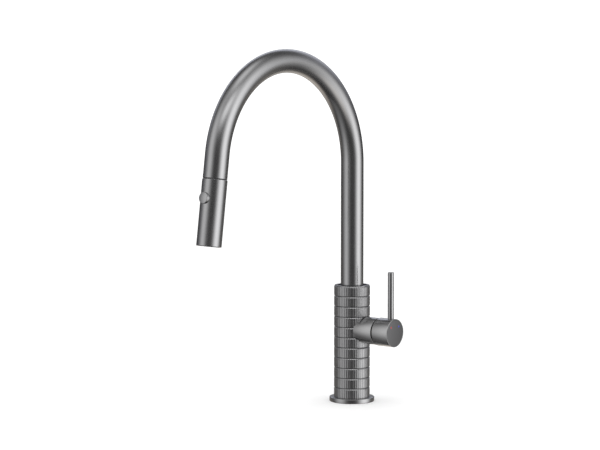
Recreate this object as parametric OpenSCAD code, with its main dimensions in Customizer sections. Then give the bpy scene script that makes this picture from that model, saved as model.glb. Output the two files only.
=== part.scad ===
// Pull-down kitchen faucet: a banded round column with a side lever, a swivelling gooseneck spout
// and a spray head on a pull-down hose that runs up through the column and the spout.
// Frame: Z up, origin at the centre of the flange's underside, spout towards -Y, lever on +X.

/* [Base] */
// Diameter of the flange that stands on the worktop
flange_d = 51.6; // [48:0.4:64]
// Height of the flange
flange_h = 5; // [4:0.5:8]
// Chamfer round the flange's top edge
flange_edge = 0.8; // [0.3:0.1:1.5]
// Thickness of the worktop that the clamp is set for
deck_t = 30; // [12:1:38]
// Outer diameter of the threaded shank
shank_d = 33; // [31:0.5:33]
// Wall of the shank
shank_wall = 1.75; // [1.5:0.05:2]
// Length of the shank below the flange
shank_len = 58; // [55:1:90]
// Width of the mounting nut across its flats
nut_af = 46; // [42:1:56]
// Height of the mounting nut
nut_h = 9; // [6:1:12]

/* [Column] */
// Diameter of the column over its bands
column_d = 40.4; // [38:0.2:50]
// Wall of the column
column_wall = 3.2; // [2.6:0.1:4]
// Height of the column's top rim above the worktop
column_top = 134.5; // [128:0.5:165]
// Number of bands up the column
band_count = 11; // [5:1:16]
// Width of the groove between two bands
groove_w = 0.9; // [0.5:0.1:1.5]
// Depth of the groove between two bands
groove_depth = 0.5; // [0.3:0.1:0.8]
// Depth of the top ring below the column's rim
rim_recess = 1.2; // [0.5:0.1:3]

/* [Valve and handle] */
// Height of the valve's axis above the worktop
valve_z = 83.5; // [78:0.5:85]
// Length of the valve housing beyond the column
housing_len = 18.4; // [17.5:0.1:24]
// How far the housing's radius is inside the hub's radius
housing_step = 0.6; // [0.5:0.1:1]
// Wall of the valve housing
housing_wall = 2.8; // [2.4:0.1:3.2]
// Gap between the housing and the hub
hub_gap = 1.9; // [1.8:0.1:3]
// Diameter of the handle's hub
hub_d = 32; // [31:0.5:40]
// Length of the handle's hub
hub_len = 21.5; // [20:0.5:28]
// Wall of the hub's hollow end
hub_wall = 1.2; // [1:0.1:1.3]
// Diameter of the lever
lever_d = 7; // [5.5:0.5:8.5]
// Height of the lever's tip above the valve's axis
lever_rise = 68.8; // [50:0.2:110]
// Largest tilt of the handle away from the column
tilt_max = 25; // [15:1:25]

/* [Spout] */
// Diameter of the spout's tube
tube_d = 26; // [24:0.5:31.5]
// Wall of the tube
tube_wall = 1.2; // [1:0.1:1.5]
// Radius of the gooseneck's centre line
arch_r = 115; // [90:1:150]
// Height at which the gooseneck starts to bend
arch_z = 274.5; // [220:0.5:360]
// Angle that the gooseneck turns through
arch_angle = 172; // [160:1:180]
// Straight length after the bend
tail_len = 25.5; // [25:0.5:60]

/* [Spray head and hose] */
// Diameter of the spray head
head_d = 26.8; // [26.4:0.1:33]
// Length of the spray head from the joint line
head_len = 71.5; // [66:0.5:100]
// Wall of the spray head's shell
head_wall = 1.5; // [1.2:0.1:1.7]
// Diameter of the spray button
button_d = 11.8; // [10.8:0.1:14]
// Distance of the button's centre below the joint line
button_drop = 21.5; // [21:0.5:30]
// How far the button stands out of the shell
button_proud = 3; // [2.2:0.1:4]
// Travel of the button
button_travel = 1.8; // [1:0.1:2]
// Diameter of the pull-down hose
hose_d = 11; // [9:0.5:11.4]

/* [Fits] */
// Radial clearance of pieces that turn or slide in each other
run_gap = 0.06; // [0.03:0.01:0.1]
// Radial clearance of pieces that are slipped together
slip_gap = 0.05; // [0.02:0.01:0.1]
// Clearance of the hose in the parts that it passes through
hose_gap = 0.7; // [0.5:0.1:1]

/* [Hidden] */
$fn = 96;
// Overshoot of a cutting shape, so that no skin is left
cut = 1;

gunmetal = [0.42, 0.42, 0.43];
dark_metal = [0.25, 0.26, 0.28];
brass = [0.72, 0.60, 0.33];
steel = [0.70, 0.71, 0.72];
black_plastic = [0.10, 0.10, 0.11];
white_plastic = [0.86, 0.86, 0.84];
rubber = [0.16, 0.16, 0.16];
ceramic = [0.93, 0.92, 0.88];
nylon = [0.30, 0.30, 0.31];
hot_red = [0.72, 0.12, 0.12];
cold_blue = [0.15, 0.32, 0.70];

// Column and base
flange_r = flange_d / 2;
column_r = column_d / 2;
bore_r = column_r - column_wall;
shank_r = shank_d / 2;
shank_bore_r = shank_r - shank_wall;
block_z = 30;
block_r = bore_r - slip_gap;
band_pitch = (column_top - flange_h) / band_count;
seal_in = shank_r + 3.5;
seal_out = seal_in + 3.5;
seal_t = 1.8;
hose_r = hose_d / 2;
hose_bore_r = hose_r + hose_gap;

// Under the worktop
washer_t = 3;
clamp_t = 2;
washer_r = shank_r + 10.5;
nut_top = -deck_t - washer_t - clamp_t;
clamp_screw_r = 2.5;
clamp_screw_len = 17;
clamp_screw_at = (shank_r + nut_af / 2) / 2 + 0.6;

// Waterways of the valve block: three threaded ports at its foot, M8 x 1
port_r = 3.5;
port_depth = 9;
port_at = shank_bore_r - port_r - 0.23;
port_turn = 48.5;
supply_x = port_at * cos(port_turn);
supply_y = port_at * sin(port_turn);
channel_r = 2;
outlet_x = port_at - 1.6;
outlet_r = 1.7;

// Cartridge, stacked along X from the flat of the valve block
flat_x = bore_r - 5;
chamber_r = hub_d / 2 - housing_step - housing_wall;
neck_r = chamber_r + 1.2;
base_t = 3;
fixed_t = 3;
moving_t = 2.5;
carrier_t = 4.7;
rotor_t = 3.6;
wall_t = 2.4;
fixed_x = flat_x + base_t;
moving_x = fixed_x + fixed_t;
carrier_x = moving_x + moving_t;
rotor_x = carrier_x + carrier_t + 0.3;
wall_x = rotor_x + rotor_t + 0.1;
case_end = wall_x + wall_t;
pivot_x = rotor_x + 4.5;
case_r = chamber_r - slip_gap;
case_in = case_r - 2.2;
rotor_r = case_in - run_gap;
rotor_neck = case_in - 2.1;
inlet_y = 7.2;
inlet_z = 2.5;
outlet_drop = 6.5;
pin_r = 1.2;
stem_w = 6.4;
slot_w = stem_w + 0.24;
ball_r = 1.6;
ball_back = 6.5;
carrier_travel = ball_back * sin(tilt_max);
carrier_off = -carrier_travel / 2;
carrier_r = case_in - carrier_travel / 2 - 0.3;

// Valve housing and handle
housing_r = hub_d / 2 - housing_step;
housing_x = column_r + housing_len;
hub_r = hub_d / 2;
hub_x = housing_x + hub_gap;
hub_in = hub_r - hub_wall;
hub_end = hub_x + hub_len;
cavity_x = hub_x + 11;
boss_x = pivot_x + 14.6;
boss_r = 8;
bonnet_x = housing_x - 2.6;
bonnet_lip = housing_x + 0.8;
bonnet_in = 9.6;
face_t = 2.2;
face_r = hub_r - 0.9;
lever_x = hub_x + 15.3;
lever_r = lever_d / 2;
lever_seat = sqrt(hub_r * hub_r - lever_r * lever_r) - 0.3;
spigot_r = lever_r - 1;
grub_x = boss_x + 3.6;
grub_r = 2;
mark_r = 1;
mark_y = 7.2;
mark_z = 7;
mark_t = 0.3;

// Spout and its bearing in the column
tube_r = tube_d / 2;
tube_in = tube_r - tube_wall;
block_top = valve_z + neck_r + 0.7;
stub_z = block_top + 1;
tube_z = stub_z + 10;
stub_bore = tube_in - 2.6;
lower_h = 4;
groove_z = stub_z + 5.5;
screw_r = 2;
ring_top = column_top - rim_recess;
ring_t = 3;
upper_z = ring_top - ring_t - 11;

// Docking end of the spout and the spray head; lengths run down from the joint line
lip_t = 0.8;
collar_len = 14;
nut_r = 8.6;
collar_in = nut_r + 0.25;
magnet_t = 4;
head_r = head_d / 2;
shell_in = head_r - head_wall;
core_r = shell_in - slip_gap;
head_top = lip_t + 0.2;
keeper_t = 2.2;
core_top = head_top + keeper_t;
ball_z = 3;
swivel_r = 6.2;
hose_end_at = -tail_len;
ferrule_r = hose_r + 0.8;
ferrule_len = 12;
swivel_stem_r = 3.8;
water_r = 2.6;
filter_at = ball_z + swivel_r + 0.1;
filter_t = 1.4;
valve_at = filter_at + filter_t;
valve_len = 6;
face_recess = 2;
face_at = head_len - face_recess;
face_plate_t = 4.5;
mat_t = 3;
mat_at = face_at - face_plate_t - mat_t;
aerator_r = 6;
nozzle_r = 0.8;
nozzle_rings = [[7.9, 12], [10.2, 18]];

// Spray button, along the local Y axis that faces away from the column
button_r = button_d / 2;
button_out = head_r + button_proud;
button_len = 6.7;
pocket_y = button_out - button_len - button_travel - 0.7;
pocket_r = button_r + 0.15;
skirt_r = button_r - 1.2;
stem_r = 2.2;
stem_in = -7;
stem_bore = stem_r + 0.3;
spring_wire = 0.35;
spring_r = 3.7;
spring_turns = 4;

// Hose below the worktop
tail_z = -shank_len - 14;
tail_len_below = 26;

// ---- Placement ----

// A ring or disc along X, with its near face at x
module along_x(x) {
    translate([x, 0, valve_z]) rotate([0, 90, 0]) children();
}

// The end of the bend: +Z runs down the spout's tail, +Y faces away from the column
module at_bend_end() {
    translate([0, -arch_r, arch_z]) rotate([arch_angle, 0, 0]) translate([0, arch_r, 0]) children();
}

// The joint line between the spout and the head, with the same directions
module at_dock(z = 0) {
    at_bend_end() translate([0, 0, tail_len + z]) children();
}

// The button's axis: +Z runs out of the head
module at_button(y) {
    at_dock(button_drop) translate([0, y, 0]) rotate([-90, 0, 0]) children();
}

module ring(outer, inner, h) {
    rotate_extrude() translate([inner, 0]) square([outer - inner, h]);
}

// A solid bar along the spout's centre line, from height z_from to the end of the bend
module spout_bar(r, z_from, past = 0) {
    translate([0, 0, z_from]) cylinder(r = r, h = arch_z - z_from);
    translate([0, -arch_r, arch_z]) rotate([90, 0, 90])
        rotate_extrude(angle = arch_angle + past) translate([arch_r, 0]) circle(r = r);
}

// ---- Base and column ----

module deck_flange() {
    color(gunmetal) rotate_extrude() polygon([
        [shank_r + slip_gap, 0], [seal_in, 0], [seal_in, seal_t], [seal_out, seal_t],
        [seal_out, 0], [flange_r, 0], [flange_r, flange_h - flange_edge],
        [flange_r - flange_edge, flange_h], [shank_r + slip_gap, flange_h]
    ]);
}

module flange_seal() {
    color(rubber) ring(seal_out, seal_in, seal_t);
}

module shank() {
    color(brass) translate([0, 0, -shank_len]) ring(shank_r, shank_bore_r, block_z + shank_len);
}

// Half outline of the column's wall: bands with grooves between them, and a chamfered rim
function band_edges(i) = let (z = flange_h + i * band_pitch) [
    [column_r - groove_depth, z - groove_w / 2], [column_r - groove_depth, z + groove_w / 2],
    [column_r, z + groove_w / 2]
];

module body_column() {
    rim = 0.8;
    grooves = [for (i = [1 : band_count - 1], p = concat([[column_r,
        flange_h + i * band_pitch - groove_w / 2 - 0.3]], band_edges(i))) p];
    color(gunmetal) difference() {
        rotate_extrude() polygon(concat(
            [[shank_r, flange_h], [column_r, flange_h]], grooves,
            [[column_r, column_top - rim], [column_r - rim, column_top],
             [bore_r + 0.3, column_top], [bore_r, column_top - 0.3],
             [bore_r, block_z], [shank_r, block_z]]
        ));
        along_x(0) cylinder(r = neck_r, h = column_r + cut);
        translate([0, 0, groove_z]) rotate([-90, 0, 0]) cylinder(r = screw_r, h = column_r + cut);
    }
}

// The three channels are drilled up from the ports and meet drillings behind the flat
module supply_channel(side) {
    translate([supply_x, side * supply_y, block_z - cut]) cylinder(r = port_r, h = port_depth + cut);
    translate([supply_x, side * supply_y, block_z])
        cylinder(r = channel_r, h = valve_z + inlet_z + channel_r - block_z);
    translate([supply_x, side * inlet_y, valve_z + inlet_z]) rotate([0, 90, 0])
        cylinder(r = channel_r, h = flat_x - supply_x + cut);
}

module outlet_channel() {
    translate([port_at, 0, block_z - cut]) cylinder(r = port_r, h = port_depth + cut);
    translate([outlet_x, 0, block_z]) cylinder(r = outlet_r, h = valve_z - outlet_drop - block_z);
    translate([outlet_x, 0, valve_z - outlet_drop]) rotate([0, 90, 0])
        cylinder(r = outlet_r, h = flat_x - outlet_x + cut);
}

module valve_block() {
    color(brass) difference() {
        translate([0, 0, block_z]) cylinder(r = block_r, h = block_top - block_z);
        translate([0, 0, block_z - cut]) cylinder(r = hose_bore_r, h = block_top - block_z + 2 * cut);
        along_x(flat_x) cylinder(r = neck_r, h = bore_r);
        for (side = [-1, 1]) supply_channel(side);
        outlet_channel();
    }
}

module valve_housing() {
    color(gunmetal) difference() {
        union() {
            difference() {
                along_x(0) cylinder(r = housing_r, h = housing_x);
                translate([0, 0, flange_h]) cylinder(r = column_r, h = column_top);
            }
            along_x(flat_x) cylinder(r = neck_r, h = housing_x - flat_x);
        }
        along_x(flat_x - cut) cylinder(r = chamber_r, h = housing_x - flat_x + 2 * cut);
    }
}

module bonnet_ring() {
    lip = 2.2;
    color(dark_metal) along_x(bonnet_x) rotate_extrude() polygon([
        [bonnet_in, 0], [case_r, 0], [case_r, housing_x - bonnet_x],
        [case_r - lip, bonnet_lip - bonnet_x], [bonnet_in, bonnet_lip - bonnet_x]
    ]);
}

module retaining_nut() {
    slot = 3;
    color(brass) along_x(case_end) difference() {
        ring(case_r, bonnet_in - 0.2, bonnet_x - case_end);
        for (turn = [0, 90]) rotate(turn)
            translate([-case_r - cut, -slot / 2, bonnet_x - case_end - 1.5])
                cube([2 * (case_r + cut), slot, 1.5 + cut]);
    }
}

// ---- Cartridge ----

module inlet_holes(r, h) {
    for (side = [-1, 1]) translate([-inlet_z, side * inlet_y, -cut]) cylinder(r = r, h = h + 2 * cut);
    translate([outlet_drop, 0, -cut]) cylinder(r = r, h = h + 2 * cut);
}

module cartridge_case() {
    color(white_plastic) along_x(fixed_x) difference() {
        cylinder(r = case_r, h = case_end - fixed_x);
        translate([0, 0, -cut]) cylinder(r = case_in, h = wall_x - fixed_x + cut);
        cylinder(r = rotor_neck + run_gap, h = case_end - fixed_x + cut);
    }
}

module cartridge_base() {
    seat_t = 0.6;
    color(white_plastic) along_x(flat_x) difference() {
        cylinder(r = case_r, h = base_t);
        inlet_holes(outlet_r, base_t);
        for (side = [-1, 1]) translate([-inlet_z, side * inlet_y, -cut])
            cylinder(r = channel_r + 1, h = seat_t + cut);
        translate([outlet_drop, 0, -cut]) cylinder(r = channel_r + 1, h = seat_t + cut);
    }
}

module port_seals() {
    seat_t = 0.6;
    color(rubber) along_x(flat_x) {
        for (side = [-1, 1]) translate([-inlet_z, side * inlet_y, 0])
            ring(channel_r + 1, channel_r, seat_t);
        translate([outlet_drop, 0, 0]) ring(channel_r + 1, channel_r, seat_t);
    }
}

module fixed_disc() {
    color(ceramic) along_x(fixed_x) difference() {
        cylinder(r = case_in - slip_gap, h = fixed_t);
        inlet_holes(outlet_r, fixed_t);
    }
}

module moving_disc() {
    recess = 1.2;
    color(ceramic) along_x(moving_x) translate([-carrier_off, 0, 0]) difference() {
        cylinder(r = carrier_r, h = moving_t);
        translate([0, 0, -cut]) cylinder(r = carrier_r - 3.4, h = recess + cut);
    }
}

module disc_carrier() {
    mouth = 1.6;
    color(black_plastic) along_x(carrier_x) difference() {
        translate([-carrier_off, 0, 0]) cylinder(r = carrier_r, h = carrier_t);
        translate([0, 0, 1]) cylinder(r = ball_r + run_gap, h = carrier_t);
        translate([0, 0, carrier_t - mouth])
            cylinder(r1 = ball_r + run_gap, r2 = ball_r + 1.2, h = mouth + 0.01);
    }
}

module cartridge_rotor() {
    slot_top = 4.4;
    neck_end = 4.2;
    color(white_plastic) difference() {
        union() {
            along_x(rotor_x) cylinder(r = rotor_r, h = rotor_t);
            along_x(rotor_x) cylinder(r = rotor_neck, h = pivot_x - rotor_x + neck_end);
        }
        translate([rotor_x - cut, -slot_w / 2, valve_z - 5])
            cube([rotor_t + cut, slot_w, 5 + slot_top]);
        translate([rotor_x + rotor_t - 0.5, -slot_w / 2, valve_z - rotor_neck - cut])
            cube([case_in + neck_end, slot_w, rotor_neck + cut + slot_top]);
        translate([pivot_x, -rotor_r - cut, valve_z]) rotate([-90, 0, 0])
            cylinder(r = pin_r, h = 2 * (rotor_r + cut));
    }
}

module pivot_pin() {
    half = rotor_neck - 0.3;
    color(steel) translate([pivot_x, -half, valve_z]) rotate([-90, 0, 0])
        cylinder(r = pin_r, h = 2 * half);
}

// ---- Handle ----

module spindle() {
    stem_start = pivot_x - 2.5;
    tail_r = 1;
    color(brass) difference() {
        union() {
            translate([stem_start, -stem_w / 2, valve_z - stem_w / 2])
                cube([cavity_x + 4 - stem_start, stem_w, stem_w]);
            along_x(pivot_x - ball_back) cylinder(r = tail_r, h = ball_back);
            translate([pivot_x - ball_back, 0, valve_z]) sphere(r = ball_r);
        }
        translate([pivot_x, -stem_w, valve_z]) rotate([-90, 0, 0])
            cylinder(r = pin_r + run_gap, h = 2 * stem_w);
    }
}

module handle_hub() {
    edge = 0.5;
    socket_w = stem_w + 2 * slip_gap;
    color(gunmetal) difference() {
        union() {
            difference() {
                along_x(hub_x) rotate_extrude() polygon([
                    [0, 0], [hub_r - edge / 2, 0], [hub_r, edge / 2],
                    [hub_r, hub_len - edge], [hub_r - edge, hub_len], [0, hub_len]
                ]);
                along_x(hub_x - cut) cylinder(r = hub_in, h = cavity_x - hub_x + cut);
            }
            along_x(boss_x) cylinder(r = boss_r, h = cavity_x - boss_x + 0.5);
        }
        along_x(hub_end - face_t) cylinder(r = face_r, h = face_t + cut);
        translate([boss_x - cut, -socket_w / 2, valve_z - socket_w / 2])
            cube([cavity_x + 4 + slip_gap - boss_x + cut, socket_w, socket_w]);
        translate([lever_x, 0, valve_z + lever_seat]) cylinder(r = lever_r, h = hub_r);
        translate([lever_x, 0, valve_z + lever_seat - 6]) cylinder(r = spigot_r, h = 7);
        translate([grub_x, 0, valve_z - hub_r - cut]) cylinder(r = grub_r, h = hub_r);
        translate([grub_x, 0, valve_z - hub_r - cut]) cylinder(r = grub_r + 0.4, h = hub_wall + 2 * cut);
    }
}

module hub_face() {
    color(gunmetal) difference() {
        along_x(hub_end - face_t) cylinder(r = face_r, h = face_t);
        for (side = [-1, 1]) translate([hub_end - mark_t, side * mark_y, valve_z + mark_z])
            rotate([0, 90, 0]) cylinder(r = mark_r, h = mark_t + cut);
    }
}

module colour_mark(side) {
    translate([hub_end - mark_t, side * mark_y, valve_z + mark_z]) rotate([0, 90, 0])
        cylinder(r = mark_r, h = mark_t);
}

module hot_mark() { color(hot_red) colour_mark(-1); }

module cold_mark() { color(cold_blue) colour_mark(1); }

module handle_lever() {
    tip = 0.6;
    color(gunmetal) translate([lever_x, 0, valve_z]) rotate_extrude() polygon([
        [0, lever_seat - 5.5], [spigot_r, lever_seat - 5.5], [spigot_r, lever_seat],
        [lever_r, lever_seat], [lever_r, lever_rise - tip], [lever_r - tip, lever_rise],
        [0, lever_rise]
    ]);
}

module grub_screw() {
    key_af = 2;
    start = stem_w / 2;
    color(dark_metal) translate([grub_x, 0, valve_z - boss_r + 0.3]) difference() {
        cylinder(r = grub_r, h = boss_r - 0.3 - start);
        translate([0, 0, -cut]) cylinder(d = key_af / cos(30), h = 2 + cut, $fn = 6);
    }
}

// ---- Spout bearing in the column ----

module lower_bearing() {
    color(white_plastic) translate([0, 0, block_top]) rotate_extrude() polygon([
        [stub_bore, 0], [bore_r, 0], [bore_r, lower_h], [tube_r + run_gap, lower_h],
        [tube_r + run_gap, stub_z - block_top - 0.05], [stub_bore, stub_z - block_top - 0.05]
    ]);
}

module upper_bearing() {
    color(white_plastic) translate([0, 0, upper_z])
        ring(bore_r, tube_r + run_gap, ring_top - ring_t - upper_z);
}

module top_ring() {
    color(dark_metal) translate([0, 0, ring_top - ring_t])
        ring(bore_r, tube_r + run_gap, ring_t);
}

module spout_screw() {
    key_af = 2;
    tip_y = tube_r - 1.6 + 0.2;
    color(dark_metal) translate([0, tip_y, groove_z]) rotate([-90, 0, 0]) difference() {
        cylinder(r = screw_r, h = column_r - 0.7 - tip_y);
        translate([0, 0, column_r - 2.9 - tip_y])
            cylinder(d = key_af / cos(30), h = 3, $fn = 6);
    }
}

// ---- Clamp under the worktop ----

module deck_washer() {
    color(rubber) translate([0, 0, -deck_t - washer_t]) ring(washer_r, shank_r + 0.4, washer_t);
}

module clamp_washer() {
    color(steel) translate([0, 0, nut_top]) ring(washer_r + 1, shank_r + 0.4, clamp_t);
}

module mounting_nut() {
    color(brass) translate([0, 0, nut_top - nut_h]) difference() {
        cylinder(d = nut_af / cos(30), h = nut_h, $fn = 6);
        translate([0, 0, -cut]) cylinder(r = shank_r + run_gap, h = nut_h + 2 * cut);
        for (turn = [0, 180]) rotate(turn) translate([clamp_screw_at, 0, -cut])
            cylinder(r = clamp_screw_r, h = nut_h + 2 * cut);
    }
}

module clamp_screws() {
    slot_w = 1;
    slot_depth = 1.4;
    color(steel) for (turn = [0, 180]) rotate(turn)
        translate([clamp_screw_at, 0, nut_top - clamp_screw_len]) difference() {
            cylinder(r = clamp_screw_r, h = clamp_screw_len);
            translate([-slot_w / 2, -clamp_screw_r - cut, -cut])
                cube([slot_w, 2 * (clamp_screw_r + cut), slot_depth + cut]);
        }
}

// ---- Spout ----

module spout_tube() {
    color(gunmetal) difference() {
        spout_bar(tube_r, tube_z);
        spout_bar(tube_in, tube_z - cut, 1);
    }
}

// Straight end piece, brazed to the bent tube and ground flush with it
module spout_socket() {
    color(gunmetal) at_bend_end() ring(tube_r, tube_in, tail_len);
}

module spout_stub() {
    plug_h = 12;
    color(brass) translate([0, 0, stub_z]) rotate_extrude() polygon([
        [stub_bore, 0], [tube_r, 0], [tube_r, groove_z - stub_z - screw_r - 0.3],
        [tube_r - 1.6, groove_z - stub_z - screw_r - 0.3],
        [tube_r - 1.6, groove_z - stub_z + screw_r + 0.3],
        [tube_r, groove_z - stub_z + screw_r + 0.3], [tube_r, tube_z - stub_z],
        [tube_in, tube_z - stub_z], [tube_in, tube_z - stub_z + plug_h],
        [stub_bore, tube_z - stub_z + plug_h]
    ]);
}

// Plastic socket in the end of the tube; its lip is the dark joint line
module dock_collar() {
    magnet_wall = 0.9;
    color(black_plastic) at_dock(-collar_len) rotate_extrude() polygon([
        [collar_in + 0.6, 0], [tube_in, 0], [tube_in, collar_len], [tube_r - 0.3, collar_len],
        [tube_r - 0.3, collar_len + lip_t], [tube_in - magnet_wall, collar_len + lip_t],
        [tube_in - magnet_wall, collar_len + lip_t - magnet_t],
        [collar_in, collar_len + lip_t - magnet_t], [collar_in, 3]
    ]);
}

module dock_magnet() {
    magnet_wall = 0.9;
    color(dark_metal) at_dock(lip_t - magnet_t) ring(tube_in - magnet_wall, collar_in, magnet_t);
}

module pull_hose() {
    color(nylon) spout_bar(hose_r, tail_z);
}

module tail_ferrule() {
    color(steel) translate([0, 0, tail_z - ferrule_len]) cylinder(r = ferrule_r, h = ferrule_len);
}

module tail_fitting() {
    groove = 0.9;
    barb_r = 4.6;
    color(brass) translate([0, 0, tail_z - ferrule_len - tail_len_below + ferrule_len])
        difference() {
            rotate_extrude() polygon([
                [0, 0], [barb_r, 0], [barb_r, 2], [barb_r - groove, 2], [barb_r - groove, 4],
                [barb_r, 4], [barb_r, 9], [hose_r + 0.4, 9], [hose_r + 0.4, 12],
                [barb_r, 12], [barb_r, tail_len_below - ferrule_len],
                [0, tail_len_below - ferrule_len]
            ]);
            translate([0, 0, -cut]) cylinder(r = water_r, h = tail_len_below);
        }
}

// ---- Hose end and spray head ----

module hose_ferrule() {
    color(steel) at_dock(hose_end_at) difference() {
        cylinder(r = ferrule_r, h = ferrule_len);
        translate([0, 0, -cut]) cylinder(r = water_r, h = ferrule_len + 2 * cut);
    }
}

module swivel_ball() {
    start = hose_end_at + ferrule_len;
    color(brass) at_dock() difference() {
        union() {
            translate([0, 0, start]) cylinder(r = swivel_stem_r, h = ball_z - start);
            translate([0, 0, ball_z]) sphere(r = swivel_r);
        }
        translate([0, 0, start - cut]) cylinder(r = water_r, h = ball_z - start + swivel_r + 2 * cut);
    }
}

// Screws into the head's core and holds the hose's ball
module swivel_nut() {
    top = -8.5;
    color(dark_metal) at_dock() difference() {
        union() {
            translate([0, 0, top]) cylinder(r1 = nut_r - 1.6, r2 = nut_r, h = 2.5);
            translate([0, 0, top + 2.5]) cylinder(r = nut_r, h = filter_at - top - 2.5);
        }
        translate([0, 0, top - cut]) cylinder(r = swivel_stem_r + 0.3, h = -top + ball_z + cut);
        translate([0, 0, ball_z]) sphere(r = swivel_r + run_gap);
        translate([0, 0, ball_z]) cylinder(r = swivel_r + run_gap, h = filter_at);
    }
}

module head_keeper() {
    color(dark_metal) at_dock(head_top) ring(shell_in, nut_r + slip_gap, keeper_t);
}

module head_shell() {
    edge = 0.5;
    color(gunmetal) difference() {
        at_dock(head_top) rotate_extrude() polygon([
            [shell_in, 0], [head_r - edge / 2, 0], [head_r, edge / 2],
            [head_r, head_len - head_top - edge], [head_r - edge, head_len - head_top],
            [shell_in, head_len - head_top]
        ]);
        at_button(0) cylinder(r = pocket_r, h = head_r + cut);
    }
}

module head_core() {
    side_port = 1.6;
    color(black_plastic) difference() {
        at_dock(core_top) cylinder(r = core_r, h = mat_at - core_top);
        at_dock(core_top - cut) cylinder(r = nut_r + slip_gap, h = filter_at - core_top + cut);
        at_dock(core_top) cylinder(r = swivel_r, h = valve_at - core_top);
        at_dock(valve_at - cut) cylinder(r = 5, h = valve_len + cut);
        at_dock(valve_at) cylinder(r = water_r, h = mat_at - valve_at + cut);
        at_button(pocket_y) cylinder(r = pocket_r, h = core_r);
        at_button(stem_in - button_travel - 0.8)
            cylinder(r = stem_bore, h = pocket_y - stem_in + button_travel + 0.8 + cut);
        for (turn = [0 : 90 : 270]) at_dock(button_drop + 12) rotate(turn)
            translate([core_r - 3, 0, 0]) cylinder(r = side_port, h = mat_at);
    }
}

module filter_washer() {
    color(rubber) at_dock(filter_at) ring(swivel_r, water_r, filter_t);
}

module check_valve() {
    color(white_plastic) at_dock(valve_at) difference() {
        cylinder(r = 5, h = valve_len);
        translate([0, 0, -cut]) cylinder(r = 3.4, h = valve_len - 2 + cut);
        for (turn = [0 : 120 : 240]) rotate(turn) translate([2, 0, 0])
            cylinder(r = 0.9, h = valve_len + cut);
    }
}

module nozzle_holes(r, from, h) {
    for (row = nozzle_rings, i = [0 : row[1] - 1])
        at_dock(from) rotate(i * 360 / row[1]) translate([row[0] * core_r / 11.85, 0, 0])
            cylinder(r = r, h = h);
}

module nozzle_mat() {
    stick_out = 0.9;
    color(rubber) difference() {
        union() {
            at_dock(mat_at) ring(core_r, aerator_r, mat_t);
            nozzle_holes(nozzle_r, mat_at + 1, face_at + stick_out - mat_at - 1);
        }
        nozzle_holes(0.35, mat_at - cut, mat_t + face_plate_t + stick_out + 2 * cut);
    }
}

module spray_face() {
    color(dark_metal) difference() {
        at_dock(mat_at + mat_t) ring(core_r, aerator_r, face_plate_t);
        nozzle_holes(nozzle_r, mat_at, face_plate_t + mat_t + cut);
    }
}

module aerator() {
    hole = 0.62;
    pitch = 1.7;
    color(steel) at_dock(mat_at) difference() {
        cylinder(r = aerator_r, h = mat_t + face_plate_t + 0.4);
        translate([0, 0, -cut]) cylinder(r = aerator_r - 1, h = mat_t + face_plate_t - 1.1 + cut);
        for (ring_no = [0 : 2], i = [0 : max(0, ring_no * 6 - 1)])
            rotate(i * 60 / max(1, ring_no)) translate([ring_no * pitch, 0, 0])
                cylinder(r = hole, h = mat_t + face_plate_t + cut);
    }
}

// ---- Spray button ----

module button_cap() {
    edge = 0.4;
    recess = button_len - 3;
    color(gunmetal) at_button(button_out - button_len) difference() {
        rotate_extrude() polygon([
            [0, 0], [button_r, 0], [button_r, button_len - edge], [button_r - edge, button_len],
            [0, button_len]
        ]);
        translate([0, 0, -cut]) cylinder(r = skirt_r, h = recess + cut);
    }
}

module button_stem() {
    seal_cut = 0.5;
    recess_top = button_out - 3;
    seal_z = [1.2, 11];
    color(brass) at_button(stem_in) difference() {
        cylinder(r = stem_r, h = recess_top - stem_in);
        for (z = seal_z) translate([0, 0, z]) ring(stem_r + cut, stem_r - seal_cut, 1);
    }
}

module button_seals() {
    seal_cut = 0.5;
    seal_z = [1.2, 11];
    color(rubber) at_button(stem_in) for (z = seal_z) translate([0, 0, z])
        ring(stem_bore - run_gap, stem_r - seal_cut, 1);
}

// A round wire wound into a helix between the pocket's floor and the cap
module button_spring() {
    sides = 8;
    steps = 14;
    count = spring_turns * steps;
    bottom = pocket_y + spring_wire;
    height = button_out - 3 - pocket_y - 2 * spring_wire;
    points = [for (i = [0 : count], k = [0 : sides - 1]) let (
        turn = i * 360 / steps, side = k * 360 / sides, out = spring_r + spring_wire * cos(side)
    ) [out * cos(turn), out * sin(turn), height * i / count + spring_wire * sin(side)]];
    quads = [for (i = [0 : count - 1], k = [0 : sides - 1]) let (n = (k + 1) % sides)
        [i * sides + k, i * sides + n, (i + 1) * sides + n, (i + 1) * sides + k]];
    ends = [[for (k = [sides - 1 : -1 : 0]) k], [for (k = [0 : sides - 1]) count * sides + k]];
    color(steel) at_button(bottom) polyhedron(points, concat(quads, ends), convexity = 6);
}

deck_flange();
flange_seal();
shank();
body_column();
valve_block();
valve_housing();
bonnet_ring();
retaining_nut();
cartridge_case();
cartridge_base();
port_seals();
fixed_disc();
lower_bearing();
upper_bearing();
top_ring();
spout_screw();
deck_washer();
clamp_washer();
mounting_nut();
clamp_screws();
spout_tube();
spout_socket();
spout_stub();
dock_collar();
dock_magnet();
pull_hose();
tail_ferrule();
tail_fitting();
hose_ferrule();
swivel_ball();
swivel_nut();
head_keeper();
head_shell();
head_core();
filter_washer();
check_valve();
nozzle_mat();
spray_face();
aerator();
button_cap();
button_stem();
button_seals();
button_spring();
cartridge_rotor();
pivot_pin();
disc_carrier();
moving_disc();
spindle();
handle_hub();
hub_face();
handle_lever();
grub_screw();
hot_mark();
cold_mark();
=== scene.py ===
"""Studio model of a pull down kitchen faucet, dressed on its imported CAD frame.

Lengths in the classes are millimetres; the meshes are made in metres. The flange
stands on z = 0, the spout points along -Y and the handle along +X.
"""

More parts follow.
